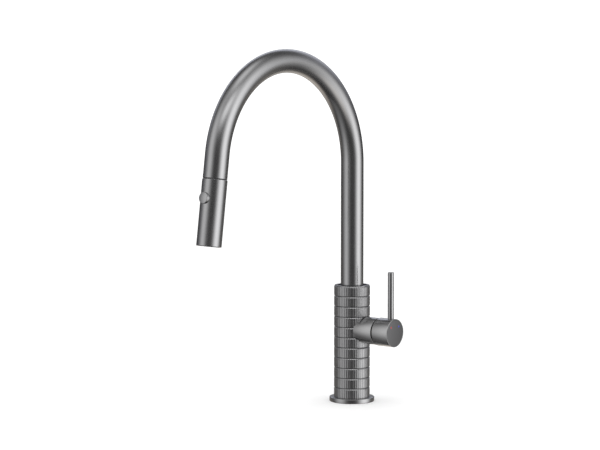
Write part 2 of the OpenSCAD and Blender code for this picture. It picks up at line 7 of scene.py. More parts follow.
import logging
from collections.abc import Callable, Iterable, Sequence
from dataclasses import dataclass, field
from enum import Enum
from math import cos, pi, radians, sin, sqrt, tan, tau

import bmesh
import bpy
from mathutils import Matrix, Vector

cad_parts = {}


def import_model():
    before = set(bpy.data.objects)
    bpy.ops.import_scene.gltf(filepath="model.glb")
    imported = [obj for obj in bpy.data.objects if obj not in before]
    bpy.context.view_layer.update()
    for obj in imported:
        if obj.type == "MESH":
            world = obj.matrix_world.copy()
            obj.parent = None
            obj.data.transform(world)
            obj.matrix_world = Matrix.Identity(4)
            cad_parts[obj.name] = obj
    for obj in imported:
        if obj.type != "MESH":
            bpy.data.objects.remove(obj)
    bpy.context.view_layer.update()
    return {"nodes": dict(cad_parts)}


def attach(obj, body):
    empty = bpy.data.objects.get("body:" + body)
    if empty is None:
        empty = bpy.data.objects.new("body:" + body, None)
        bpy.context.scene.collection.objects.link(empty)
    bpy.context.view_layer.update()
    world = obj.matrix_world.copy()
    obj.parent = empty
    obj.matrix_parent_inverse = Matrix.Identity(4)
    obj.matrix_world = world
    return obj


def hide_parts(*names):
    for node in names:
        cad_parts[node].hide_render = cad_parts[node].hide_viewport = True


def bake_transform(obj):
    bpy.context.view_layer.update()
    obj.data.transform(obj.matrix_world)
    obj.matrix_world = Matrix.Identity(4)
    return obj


LOG = logging.getLogger("faucet")
MM = 0.001
TINY = 1e-6
WELD_DISTANCE = 1e-7
SHARP_ANGLE = 32.0
BEVEL_ANGLE = 60.0
CORNER_STEPS = 4
CORNER_SHARE = 0.45
NOISE_RANGE = (0.3, 0.7)
Outline = Sequence[tuple[float, float]]
Colour = tuple[float, float, float]
Socket = bpy.types.NodeSocket
Piece = bpy.types.Object
Material = bpy.types.Material
METAL: Colour = (0.36, 0.36, 0.365)


class Body(Enum):
    """The moving bodies of the frame that pieces ride on."""

    ROOT = "root"
    SPOUT = "spout"
    HOSE_END = "hose_end"
    SPRAY_HEAD = "spray_head"
    SPRAY_BUTTON = "spray_button"
    HANDLE = "handle"


class Slot(Enum):
    """The material slots of the record."""

    GUNMETAL = "gunmetal"
    DARK_METAL = "dark_metal"
    BRASS = "brass"
    STEEL = "steel"
    BLACK_PLASTIC = "black_plastic"
    WHITE_PLASTIC = "white_plastic"
    BLACK_RUBBER = "black_rubber"
    WHITE_CERAMIC = "white_ceramic"
    NYLON_BRAID = "nylon_braid"
    HOT_RED = "hot_red"
    COLD_BLUE = "cold_blue"


class Grain(Enum):
    """How the polishing marks of a metal lie: turn about X in degrees, then scale."""

    UPRIGHT = (0.0, (2400.0, 2400.0, 45.0))
    ALONG_HEAD = (-8.0, (2400.0, 2400.0, 45.0))
    TURNED_X = (0.0, (2600.0, 60.0, 60.0))
    TURNED_Z = (0.0, (60.0, 60.0, 2600.0))
    EVEN = (0.0, (1500.0, 1500.0, 1500.0))


# ---- Node trees ----


class Tree:
    """A node tree while it is put together."""

    def __init__(self, tree: bpy.types.NodeTree) -> None:
        """Starts from an empty tree."""
        self.tree = tree
        tree.nodes.clear()

    def feed(self, socket: Socket, value: object) -> None:
        """Links an output socket to an input socket, or sets the input to a value."""
        if isinstance(value, Socket):
            self.tree.links.new(value, socket)
        else:
            socket.default_value = value

    def add(
        self, kind: str, sockets: dict[str | int, object], **settings: object
    ) -> bpy.types.Node:
        """Adds a node, with each socket either set or fed.

        Args:
            kind: The node's type name.
            sockets: Input names or numbers with a value, or an output socket to link from.
            **settings: The node's own properties.

        Returns:
            The new node.
        """
        made = self.tree.nodes.new(kind)
        for key, value in settings.items():
            setattr(made, key, value)
        for key, value in sockets.items():
            self.feed(made.inputs[key], value)
        return made

    def math(self, operation: str, *values: object) -> Socket:
        """Adds a Math node over numbers or sockets and returns its result."""
        return self.add("ShaderNodeMath", dict(enumerate(values)), operation=operation).outputs[0]

    def vector_math(self, operation: str, sockets: dict[str | int, object]) -> bpy.types.Node:
        """Adds a Vector Math node and returns it."""
        return self.add("ShaderNodeVectorMath", sockets, operation=operation)


# ---- Finishes ----


class Recipe(Tree):
    """A material's node tree while it is put together."""

    def __init__(self, name: str) -> None:
        """Starts an empty material under a name."""
        self.material = bpy.data.materials.new(name)
        self.material.use_nodes = True
        super().__init__(self.material.node_tree)

    def own_place(self) -> Socket:
        """Returns the object's own coordinates."""
        return self.add("ShaderNodeTexCoord", {}).outputs["Object"]

    def noise(
        self, place: Socket, scale: float, detail: float, **more: float
    ) -> Socket:
        """Adds a noise and returns its value."""
        sockets = {"Vector": place, "Scale": scale, "Detail": detail, **more}
        return self.add("ShaderNodeTexNoise", sockets).outputs["Fac"]

    def relief(
        self, height: Socket, strength: float, depth: float
    ) -> Socket:
        """Turns a height into a fine relief, its depth in metres, and returns the normal."""
        sockets = {"Height": height, "Strength": strength, "Distance": depth}
        return self.add("ShaderNodeBump", sockets).outputs["Normal"]

    def spread(self, value: Socket, low: float, high: float) -> Socket:
        """Maps the middle of a noise onto a range and returns the result."""
        first, last = NOISE_RANGE
        return self.add(
            "ShaderNodeMapRange",
            {"Value": value, "From Min": first, "From Max": last, "To Min": low, "To Max": high},
        ).outputs["Result"]

    def blend(self, value: Socket, low: Colour, high: Colour) -> Socket:
        """Turns a noise into a colour between two and returns it."""
        made = self.add("ShaderNodeValToRGB", {"Fac": value})
        for stop, place, colour in zip(made.color_ramp.elements, NOISE_RANGE, (low, high)):
            stop.position = place
            stop.color = (*colour, 1.0)
        return made.outputs["Color"]

    def surface(self, **sockets: object) -> Material:
        """Ends the tree in a Principled shader.

        Args:
            **sockets: The shader's sockets, with an underscore for each space.

        Returns:
            The finished material.
        """
        shader = self.add(
            "ShaderNodeBsdfPrincipled", {key.replace("_", " "): v for key, v in sockets.items()}
        )
        self.add("ShaderNodeOutputMaterial", {"Surface": shader.outputs["BSDF"]})
        return self.material


def shade(colour: Colour, factor: float) -> Colour:
    """Returns a colour made lighter or darker."""
    return tuple(min(1.0, part * factor) for part in colour)


@dataclass(frozen=True)
class PolishedMetal:
    """A metal with fine polishing marks, faint handling haze and uneven plating."""

    name: str
    colour: Colour
    roughness: float
    grain: Grain = Grain.EVEN
    marks: float = 0.02
    relief: float = 0.08
    tone: float = 0.02
    swept: bool = False

    def material(self) -> Material:
        """Makes the material once, with its marks laid along the grain, and returns it."""
        known = bpy.data.materials.get(self.name)
        if known:
            return known
        recipe = Recipe(self.name)
        if self.swept:
            swept = recipe.add("ShaderNodeAttribute", {}, attribute_name="bar_place")
            place = swept.outputs["Vector"]
        else:
            place = recipe.own_place()
        turn, scale = self.grain.value
        laid = recipe.add(
            "ShaderNodeMapping",
            {"Vector": place, "Rotation": (radians(turn), 0, 0), "Scale": scale},
        ).outputs["Vector"]
        marks = recipe.noise(laid, 1.0, 4.0, Roughness=0.62)
        haze = recipe.noise(place, 34.0, 3.0)
        rough = recipe.math(
            "ADD",
            recipe.spread(marks, self.roughness - self.marks, self.roughness + self.marks),
            recipe.spread(haze, -0.025, 0.025),
        )
        dark, light = shade(self.colour, 1 - self.tone), shade(self.colour, 1 + self.tone)
        return recipe.surface(
            Base_Color=recipe.blend(marks, dark, light), Metallic=1.0, Roughness=rough,
            Normal=recipe.relief(marks, self.relief, 0.00002),
        )


@dataclass(frozen=True)
class MouldedSkin:
    """A moulded or fired surface with a fine grain: plastic, rubber, ceramic or enamel."""

    name: str
    colour: Colour
    roughness: float
    grain: float = 1400.0
    relief: float = 0.3
    coat: float = 0.0

    def material(self) -> Material:
        """Makes the material once and returns it."""
        known = bpy.data.materials.get(self.name)
        if known:
            return known
        recipe = Recipe(self.name)
        place = recipe.own_place()
        fine = recipe.noise(place, self.grain, 3.0)
        cloud = recipe.noise(place, 60.0, 2.0)
        return recipe.surface(
            Base_Color=recipe.blend(cloud, shade(self.colour, 0.88), shade(self.colour, 1.1)),
            Roughness=recipe.spread(fine, self.roughness - 0.06, self.roughness + 0.06),
            Normal=recipe.relief(fine, self.relief, 0.00004),
            Coat_Weight=self.coat,
            Coat_Roughness=0.08,
        )


@dataclass(frozen=True)
class BraidedNylon:
    """Nylon strands braided round a hose, two left and two right, with a darker tracer.

    The axis runs through a point, tilted about X by some degrees.
    """

    name: str
    colour: Colour = (0.16, 0.165, 0.18)
    tracer: Colour = (0.03, 0.03, 0.035)
    roughness: float = 0.5
    through: tuple[float, float, float] = (0.0, 0.0, 0.0)
    tilt: float = 0.0
    strands: int = 12
    lay: float = 9.0

    def material(self) -> Material:
        """Makes the braid from two crossing helices of strands and returns it."""
        recipe = Recipe(self.name)
        place = recipe.own_place()
        straight = recipe.add(
            "ShaderNodeMapping",
            {
                "Vector": place,
                "Location": [part * MM for part in self.through],
                "Rotation": (radians(self.tilt), 0, 0),
            },
            vector_type="TEXTURE",
        ).outputs["Vector"]
        parts = recipe.add("ShaderNodeSeparateXYZ", {"Vector": straight}).outputs
        around = recipe.math("ARCTAN2", parts["Y"], parts["X"])
        along = recipe.math("MULTIPLY", parts["Z"], tau / (self.lay * MM))
        waves = []
        for way in (1.0, -1.0):
            turn = recipe.math("MULTIPLY", around, float(self.strands))
            phase = recipe.math("MULTIPLY_ADD", along, way * self.strands / 4, turn)
            waves.append(recipe.math("SINE", phase))
        over = recipe.math("MAXIMUM", *waves)
        height = recipe.math("MULTIPLY_ADD", over, 0.5, 0.5)
        fibre = recipe.noise(place, 2600.0, 3.0)
        rough_height = recipe.math("MULTIPLY_ADD", fibre, 0.25, height)
        return recipe.surface(
            Base_Color=recipe.blend(height, self.tracer, self.colour),
            Roughness=recipe.spread(fibre, self.roughness - 0.1, self.roughness + 0.1),
            Normal=recipe.relief(rough_height, 0.7, 0.00025),
        )


@dataclass(frozen=True)
class Finishes:
    """Every finish of the faucet."""

    column: PolishedMetal = PolishedMetal("gunmetal_reeded", METAL, 0.3, Grain.UPRIGHT)
    # painted shade: the core's dark colour stands in for the shade deep in the grooves between
    # the reeded bands
    groove: PolishedMetal = PolishedMetal(
        "gunmetal_painted_groove_shade", (0.12, 0.12, 0.125), 0.4, Grain.TURNED_Z
    )
    turned: PolishedMetal = PolishedMetal(
        "gunmetal_turned", (0.385, 0.385, 0.388), 0.22, Grain.TURNED_X, relief=0.035
    )
    flange: PolishedMetal = PolishedMetal("gunmetal_flange", METAL, 0.24, Grain.TURNED_Z)
    tube: PolishedMetal = PolishedMetal("gunmetal_tube", METAL, 0.25, Grain.UPRIGHT, swept=True)
    head: PolishedMetal = PolishedMetal("gunmetal_head", METAL, 0.25, Grain.ALONG_HEAD)
    rod: PolishedMetal = PolishedMetal("gunmetal_rod", METAL, 0.25, Grain.UPRIGHT)
    face: PolishedMetal = PolishedMetal("gunmetal_face", (0.17, 0.17, 0.173), 0.45)
    by_slot: dict[Slot, PolishedMetal | MouldedSkin] = field(default_factory=lambda: {
        Slot.GUNMETAL: PolishedMetal("gunmetal_plain", METAL, 0.27),
        Slot.DARK_METAL: PolishedMetal("dark_plating", (0.11, 0.115, 0.135), 0.3),
        Slot.BRASS: PolishedMetal("machined_brass", (0.66, 0.45, 0.19), 0.32, Grain.TURNED_Z),
        Slot.STEEL: PolishedMetal("bright_steel", (0.6, 0.6, 0.59), 0.28),
        Slot.BLACK_PLASTIC: MouldedSkin("black_plastic_skin", (0.02, 0.02, 0.022), 0.45),
        Slot.WHITE_PLASTIC: MouldedSkin("white_plastic_skin", (0.72, 0.71, 0.68), 0.4),
        Slot.BLACK_RUBBER: MouldedSkin(
            "black_rubber_skin", (0.025, 0.025, 0.025), 0.65, grain=900.0, relief=0.5
        ),
        Slot.WHITE_CERAMIC: MouldedSkin("fired_ceramic", (0.85, 0.84, 0.8), 0.12, 2500.0, 0.1),
        Slot.HOT_RED: MouldedSkin("hot_enamel", (0.62, 0.03, 0.025), 0.3, 2500.0, 0.1, 0.6),
        Slot.COLD_BLUE: MouldedSkin("cold_enamel", (0.03, 0.05, 0.6), 0.3, 2500.0, 0.1, 0.6),
    })

    def slot_material(self, slot: Slot) -> Material:
        """Returns the material of a slot."""
        return self.by_slot[slot].material()

    def dress_nodes(self, nodes: dict[str, Piece]) -> None:
        """Gives each CAD node that stays on show the finish of its slot.

        Args:
            nodes: The frame's nodes by name.
        """
        for name, node in nodes.items():
            slot = node.material_slots[0].material.name.split(".")[0]
            if slot == Slot.NYLON_BRAID.value:
                continue
            finish = self.by_slot[Slot(slot)]
            if name in ("head_shell", "button_cap"):
                finish = self.head
            node.material_slots[0].material = finish.material()


# ---- Mesh work ----


def soften(outline: Outline, edge: float) -> list[tuple[float, float]]:
    """Rounds the corners of a closed outline.

    Args:
        outline: Radius and height of each corner.
        edge: Radius of the rounding.

    Returns:
        The rounded outline.
    """
    points = [Vector(p) for p in outline]
    made: list[tuple[float, float]] = []
    for index, corner in enumerate(points):
        before, after = points[index - 1], points[(index + 1) % len(points)]
        to_before, to_after = before - corner, after - corner
        if corner.x < TINY or edge <= 0:
            made.append(tuple(corner))
            continue
        half = to_before.angle(to_after) / 2
        room = CORNER_SHARE * min(to_before.length, to_after.length)
        reach = min(edge / tan(half), room)
        first = corner + to_before.normalized() * reach
        last = corner + to_after.normalized() * reach
        for step in range(CORNER_STEPS + 1):
            t = step / CORNER_STEPS
            made.append(tuple(first * (1 - t) ** 2 + corner * 2 * t * (1 - t) + last * t * t))
    return made


def show(name: str, data: bpy.types.ID) -> Piece:
    """Puts a mesh or a camera into the scene and returns its object."""
    piece = bpy.data.objects.new(name, data)
    bpy.context.scene.collection.objects.link(piece)
    return piece


def mesh_piece(
    name: str, verts: Iterable[Sequence[float]], faces: Iterable[Sequence[int]],
    sharp: float = SHARP_ANGLE,
) -> Piece:
    """Makes an object from millimetre points, its normals outwards.

    Args:
        name: The object's name.
        verts: Points in millimetres.
        faces: Faces as lists of point numbers.
        sharp: Angle in degrees above which an edge stays sharp.

    Returns:
        The object, in the scene.
    """
    mesh = bpy.data.meshes.new(name)
    mesh.from_pydata([tuple(c * MM for c in v) for v in verts], [], list(faces))
    piece = show(name, mesh)
    tidy(piece, sharp)
    return piece


def tidy(piece: Piece, sharp: float = SHARP_ANGLE) -> None:
    """Merges doubles, turns the faces outwards and shades smooth between sharp edges.

    Args:
        piece: The object whose mesh is tidied.
        sharp: Angle in degrees above which an edge stays sharp.
    """
    work = bmesh.new()
    work.from_mesh(piece.data)
    bmesh.ops.remove_doubles(work, verts=work.verts, dist=WELD_DISTANCE)
    bmesh.ops.recalc_face_normals(work, faces=work.faces)
    work.to_mesh(piece.data)
    work.free()
    piece.data.shade_smooth()
    piece.data.set_sharp_from_angle(angle=radians(sharp))


def polar(radius: float, angle: float, height: float) -> Vector:
    """Returns the point at a radius, an angle in radians round Z, and a height."""
    return Vector((radius * cos(angle), radius * sin(angle), height))


def ring_outline(inner: float, outer: float, low: float, high: float) -> Outline:
    """Returns the outline of a ring, or of a rod where the inner radius is 0."""
    return [(inner, low), (outer, low), (outer, high), (inner, high)]


def turned(
    name: str, outline: Outline, place: Matrix, edge: float = 0.0, sides: int = 96
) -> Piece:
    """Spins a closed outline round the local Z axis.

    Args:
        name: The object's name.
        outline: Radius and height of each corner, closed.
        place: Where the local axis lies, in millimetres.
        edge: Radius of the rounded corners.
        sides: Number of faces round the axis.

    Returns:
        The turned piece.
    """
    points = soften(outline, edge)
    verts: list[Vector] = []
    rings: list[list[int]] = []
    for radius, height in points:
        start = len(verts)
        if radius < TINY:
            verts.append(place @ Vector((0, 0, height)))
            rings.append([start] * sides)
            continue
        for side in range(sides):
            verts.append(place @ polar(radius, tau * side / sides, height))
        rings.append(list(range(start, start + sides)))
    faces = []
    for low, high in zip(rings, rings[1:] + rings[:1]):
        for side in range(sides):
            corners = (low[side], low[side - 1], high[side - 1], high[side])
            unique = list(dict.fromkeys(corners))
            if len(unique) > 2:
                faces.append(unique)
    return mesh_piece(name, verts, faces)


def settle(piece: Piece) -> None:
    """Turns the piece's modifiers into plain mesh."""
    seen = piece.evaluated_get(bpy.context.evaluated_depsgraph_get())
    piece.data = bpy.data.meshes.new_from_object(seen)
    piece.data.name = piece.name
    piece.modifiers.clear()


def move(piece: Piece, place: Matrix) -> None:
    """Puts a place in millimetres into the piece's mesh."""
    metres = place.copy()
    metres.translation = place.translation * MM
    piece.data.transform(metres)


def bevel(piece: Piece, width: float, segments: int) -> None:
    """Adds a bevel of some millimetres to the piece's sharp edges."""
    edge = piece.modifiers.new("edge", "BEVEL")
    edge.width = width * MM
    edge.segments = segments
    edge.limit_method = "ANGLE"
    edge.angle_limit = radians(BEVEL_ANGLE)


def cut(piece: Piece, tool: Piece) -> None:
    """Cuts a closed tool piece out of a piece and removes the tool.

    Args:
        piece: The piece that is cut.
        tool: The cutting piece.
    """
    modifier = piece.modifiers.new("cut", "BOOLEAN")
    modifier.object = tool
    modifier.solver = "EXACT"
    modifier.use_self = True
    settle(piece)
    bpy.data.objects.remove(tool)


def join(name: str, parts: Sequence[Piece]) -> Piece:
    """Joins pieces into one mesh.

    Args:
        name: The joined piece's name.
        parts: The pieces, which are used up.

    Returns:
        The joined piece.
    """
    work = bmesh.new()
    for part in parts:
        work.from_mesh(part.data)
    mesh = bpy.data.meshes.new(name)
    work.to_mesh(mesh)
    work.free()
    for part in parts:
        bpy.data.objects.remove(part)
    return show(name, mesh)


def dress(
    piece: Piece, finish: Material, stands_for: Sequence[str]
) -> None:
    """Gives a finished piece its material and the nodes that it replaces."""
    piece.data.materials.clear()
    piece.data.materials.append(finish)
    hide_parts(*stands_for)
    LOG.info("%s: %d faces", piece.name, len(piece.data.polygons))


def mount(
    piece: Piece, body: Body, finish: Material,
    stands_for: Sequence[str],
) -> None:
    """Dresses a piece and fixes it to its body.

    Args:
        piece: The finished piece.
        body: The body that it rides on.
        finish: The piece's material.
        stands_for: The CAD nodes that it replaces.
    """
    dress(piece, finish, stands_for)
    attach(piece, body.value)


def bridge(
    piece: Piece,
    finish: Material, node: str, ends: tuple[Vector, Vector],
) -> None:
    """Dresses a piece that lies between two bodies and bakes its place into its mesh, tied to
    neither body.

    Args:
        piece: The finished piece.
        finish: The piece's material.
        node: The CAD node that it replaces.
        ends: Where it leaves the first body and where it joins the second; not used.
    """
    dress(piece, finish, [node])
    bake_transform(piece)


# ---- Geometry Nodes ----


class NodeTool(Tree):
    """A Geometry Nodes tree with named inputs, built once and set by socket identifier."""

    def __init__(self, name: str, **inputs: str) -> None:
        """Starts the tree.

        Args:
            name: The tree's name.
            **inputs: The kind of each input between the geometry and the material.
        """
        super().__init__(bpy.data.node_groups.new(name, "GeometryNodeTree"))
        face = self.tree.interface
        self.keys = {
            label: face.new_socket(
                label, in_out="INPUT", socket_type=f"NodeSocket{kind}"
            ).identifier
            for label, kind in {"Geometry": "Geometry", **inputs, "Material": "Material"}.items()
        }
        face.new_socket("Geometry", in_out="OUTPUT", socket_type="NodeSocketGeometry")
        self.given = self.tree.nodes.new("NodeGroupInput").outputs

    def end(self, shape: Socket) -> None:
        """Ends the tree in plain, dressed geometry.

        Args:
            shape: The geometry so far.
        """
        real = self.add("GeometryNodeRealizeInstances", {"Geometry": shape}).outputs["Geometry"]
        dressed = self.add(
            "GeometryNodeSetMaterial", {"Geometry": real, "Material": self.given["Material"]}
        )
        self.add("NodeGroupOutput", {"Geometry": dressed.outputs["Geometry"]})

    def repeat(self, points: Socket) -> None:
        """Ends the tree in a copy of the piece at every point."""
        copies = self.add(
            "GeometryNodeInstanceOnPoints", {"Points": points, "Instance": self.given["Geometry"]}
        )
        self.end(copies.outputs["Instances"])

    def circle(self, sides: object, radius: Socket) -> Socket:
        """Adds a circle to sweep along a path and returns its curve."""
        sockets = {"Resolution": sides, "Radius": radius}
        return self.add("GeometryNodeCurvePrimitiveCircle", sockets).outputs["Curve"]

    def bar(self, path: Socket, profile: Socket, capped: object) -> Socket:
        """Sweeps a profile along a path and returns the mesh."""
        sockets = {"Curve": path, "Profile Curve": profile, "Fill Caps": capped}
        return self.add("GeometryNodeCurveToMesh", sockets).outputs["Mesh"]

    def store(
        self, shape: Socket, name: str, value: Socket, kind: str = "FLOAT_VECTOR"
    ) -> Socket:
        """Stores a value on every point under a name and returns the geometry."""
        return self.add(
            "GeometryNodeStoreNamedAttribute", {"Geometry": shape, "Name": name, "Value": value},
            data_type=kind, domain="POINT",
        ).outputs["Geometry"]

    def recall(self, name: str, kind: str = "FLOAT_VECTOR") -> Socket:
        """Reads a stored value back and returns it."""
        made = self.add("GeometryNodeInputNamedAttribute", {"Name": name}, data_type=kind)
        return made.outputs["Attribute"]

    def run(self, piece: Piece, **values: object) -> None:
        """Runs the tree on a piece and keeps the result as its mesh.

        Args:
            piece: The piece whose mesh goes in.
            **values: The named inputs.
        """
        modifier = piece.modifiers.new(self.tree.name, "NODES")
        modifier.node_group = self.tree
        for label, value in values.items():
            modifier[self.keys[label]] = value
        settle(piece)


def stacking_tool() -> NodeTool:
    """Builds the tree that repeats a ring up the Z axis and returns it."""
    tool = NodeTool("stack", Count="Int", Pitch="Float")
    given = tool.given
    step = tool.add("ShaderNodeCombineXYZ", {"Z": given["Pitch"]}).outputs["Vector"]
    line = tool.add(
        "GeometryNodeMeshLine", {"Count": given["Count"], "Offset": step}, mode="OFFSET"
    )
    tool.repeat(line.outputs["Mesh"])
    return tool


def circling_tool() -> NodeTool:
    """Builds the tree that repeats a piece round the Z axis and returns it."""
    tool = NodeTool("circle", Count="Int", Radius="Float")
    given = tool.given
    ring = tool.add(
        "GeometryNodeMeshCircle", {"Vertices": given["Count"], "Radius": given["Radius"]}
    )
    tool.repeat(ring.outputs["Mesh"])
    return tool


def thread_tool() -> NodeTool:
    """Builds the tree that adds a screw thread to a bar and returns it."""
    tool = NodeTool(
        "thread", Radius="Float", Turns="Float", Length="Float", Start="Float", Ridge="Float"
    )
    given = tool.given
    helix = tool.add("GeometryNodeCurveSpiral", {
        "Resolution": 48, "Rotations": given["Turns"], "Start Radius": given["Radius"],
        "End Radius": given["Radius"], "Height": given["Length"],
    }).outputs["Curve"]
    ridge = tool.bar(helix, tool.circle(4, given["Ridge"]), True)
    lift = tool.add("ShaderNodeCombineXYZ", {"Z": given["Start"]}).outputs["Vector"]
    placed = tool.add("GeometryNodeTransform", {"Geometry": ridge, "Translation": lift})
    both = tool.add("GeometryNodeJoinGeometry", {"Geometry": given["Geometry"]})
    tool.feed(both.inputs["Geometry"], placed.outputs["Geometry"])
    tool.end(both.outputs["Geometry"])
    return tool


def sweeping_tool() -> NodeTool:
    """Builds the tree that sweeps a round bar along a path.

    It stores bar_place, each point's place on the bar if it were straight.

    Returns:
        The tool.
    """
    tool = NodeTool("sweep", Radius="Float", Sides="Int", Capped="Bool")
    given = tool.given
    path = tool.add("GeometryNodeMeshToCurve", {"Mesh": given["Geometry"]}).outputs["Curve"]
    length = tool.add("GeometryNodeSplineParameter", {}).outputs["Length"]
    profile = tool.circle(given["Sides"], given["Radius"])
    position = tool.add("GeometryNodeInputPosition", {}).outputs["Position"]
    path = tool.store(path, "along", length, "FLOAT")
    bar = tool.bar(path, tool.store(profile, "across", position), given["Capped"])
    split = tool.add("ShaderNodeSeparateXYZ", {"Vector": tool.recall("across")})
    place = tool.add("ShaderNodeCombineXYZ", {
        "X": split.outputs["X"], "Y": split.outputs["Y"], "Z": tool.recall("along", "FLOAT"),
    }).outputs["Vector"]
    stored = tool.store(bar, "bar_place", place)
    tool.end(stored)
    return tool


# ---- The faucet ----


@dataclass(frozen=True)
class Layout:
    """Where the faucet's axes lie."""

    valve_z: float = 83.5
    arch_r: float = 115.0
    arch_z: float = 274.5
    arch_angle: float = 172.0
    tail: float = 25.5

    def along_x(self, x: float) -> Matrix:
        """Returns the place whose local Z runs along the valve's axis from x."""
        return Matrix.Translation((x, 0, self.valve_z)) @ Matrix.Rotation(pi / 2, 4, "Y")

    def bend_end(self) -> Matrix:
        """Returns the place at the end of the bend, its local Z down the spout's tail."""
        return (
            Matrix.Translation((0, -self.arch_r, self.arch_z))
            @ Matrix.Rotation(radians(self.arch_angle), 4, "X")
            @ Matrix.Translation((0, self.arch_r, 0))
        )

    def dock(self, down: float = 0.0) -> Matrix:
        """Returns the place on the joint line between spout and head, moved down."""
        return self.bend_end() @ Matrix.Translation((0, 0, self.tail + down))

    def button(self, down: float, out: float) -> Matrix:
        """Returns the place on the button's axis, its local Z out of the head."""
        outwards = Matrix.Translation((0, out, 0)) @ Matrix.Rotation(-pi / 2, 4, "X")
        return self.dock(down) @ outwards

    def on_bend(self, angle: float) -> Vector:
        """Returns the centre line's point at an angle in radians round the bend."""
        return Vector((
            0, self.arch_r * (cos(angle) - 1), self.arch_z + self.arch_r * sin(angle)
        ))

    def route(self, start_z: float, rings: Callable[[float], float]) -> list[Vector]:
        """Follows the spout's centre line from a height to the end of the bend.

        Args:
            start_z: Height of the first point.
            rings: Gives the step in millimetres at a distance before the end.

        Returns:
            The points.
        """
        bend = radians(self.arch_angle) * self.arch_r
        total = self.arch_z - start_z + bend
        stops = [0.0]
        while total - stops[-1] > TINY:
            stops.append(min(total, stops[-1] + rings(total - stops[-1])))
        points = []
        for stop in stops:
            past = stop - (self.arch_z - start_z)
            straight = Vector((0, 0, start_z + stop))
            points.append(straight if past <= 0 else self.on_bend(past / self.arch_r))
        return points


@dataclass
class Assembly:
    """Pieces that are built together, with what they share with the others."""

    finishes: Finishes
    layout: Layout
    sweep: NodeTool

    def swept(
        self, name: str, points: Sequence[Vector], radius: float, sides: int, finish: Material,
        capped: bool = True,
    ) -> Piece:
        """Sweeps a round bar along a path.

        Args:
            name: The object's name.
            points: The path in millimetres.
            radius: The bar's radius in millimetres.
            sides: Number of faces round the bar.
            finish: The bar's material.
            capped: Whether its ends are closed.

        Returns:
            The bar.
        """
        mesh = bpy.data.meshes.new(name)
        edges = [(i, i + 1) for i in range(len(points) - 1)]
        mesh.from_pydata([p * MM for p in points], edges, [])
        bar = show(name, mesh)
        self.sweep.run(bar, Radius=radius * MM, Sides=sides, Capped=capped, Material=finish)
        tidy(bar)
        return bar


@dataclass
class DeckMount(Assembly):
    """The flange on the worktop and the threaded shank below it."""

    flange_r: float = 25.8
    flange_h: float = 5.0
    seal: tuple[float, float, float] = (20.0, 23.5, 1.8)
    shank_r: float = 16.5
    bore_r: float = 14.75
    shank_low: float = -58.0
    shank_top: float = 30.0
    thread_pitch: float = 1.5
    thread_depth: float = 0.45
    ridge_share: float = 0.95
    ridge_lift: float = 0.02
    plain_end: float = 1.5
    seat_gap: float = 0.05

    def build(self) -> None:
        """Builds the flange and the shank."""
        inside, outside, depth = self.seal
        neck = self.shank_r + self.seat_gap
        flange = turned("base_flange", [
            (neck, 0), (inside, 0), (inside, depth), (outside, depth), (outside, 0),
            (self.flange_r, 0), (self.flange_r, self.flange_h), (neck, self.flange_h),
        ], Matrix(), edge=0.6, sides=128)
        mount(flange, Body.ROOT, self.finishes.flange.material(), ["deck_flange"])
        root_r = self.shank_r - self.thread_depth
        bar = ring_outline(self.bore_r, root_r, self.shank_low, self.shank_top)
        shank = turned("threaded_shank", bar, Matrix(), edge=0.4)
        brass = self.finishes.slot_material(Slot.BRASS)
        length = -self.shank_low - 2 * self.plain_end
        thread_tool().run(
            shank, Radius=(root_r + self.ridge_lift) * MM, Turns=length / self.thread_pitch,
            Length=length * MM, Start=(self.shank_low + self.plain_end) * MM,
            Ridge=self.thread_depth * MM * self.ridge_share, Material=brass,
        )
        tidy(shank)
        mount(shank, Body.ROOT, brass, ["shank"])


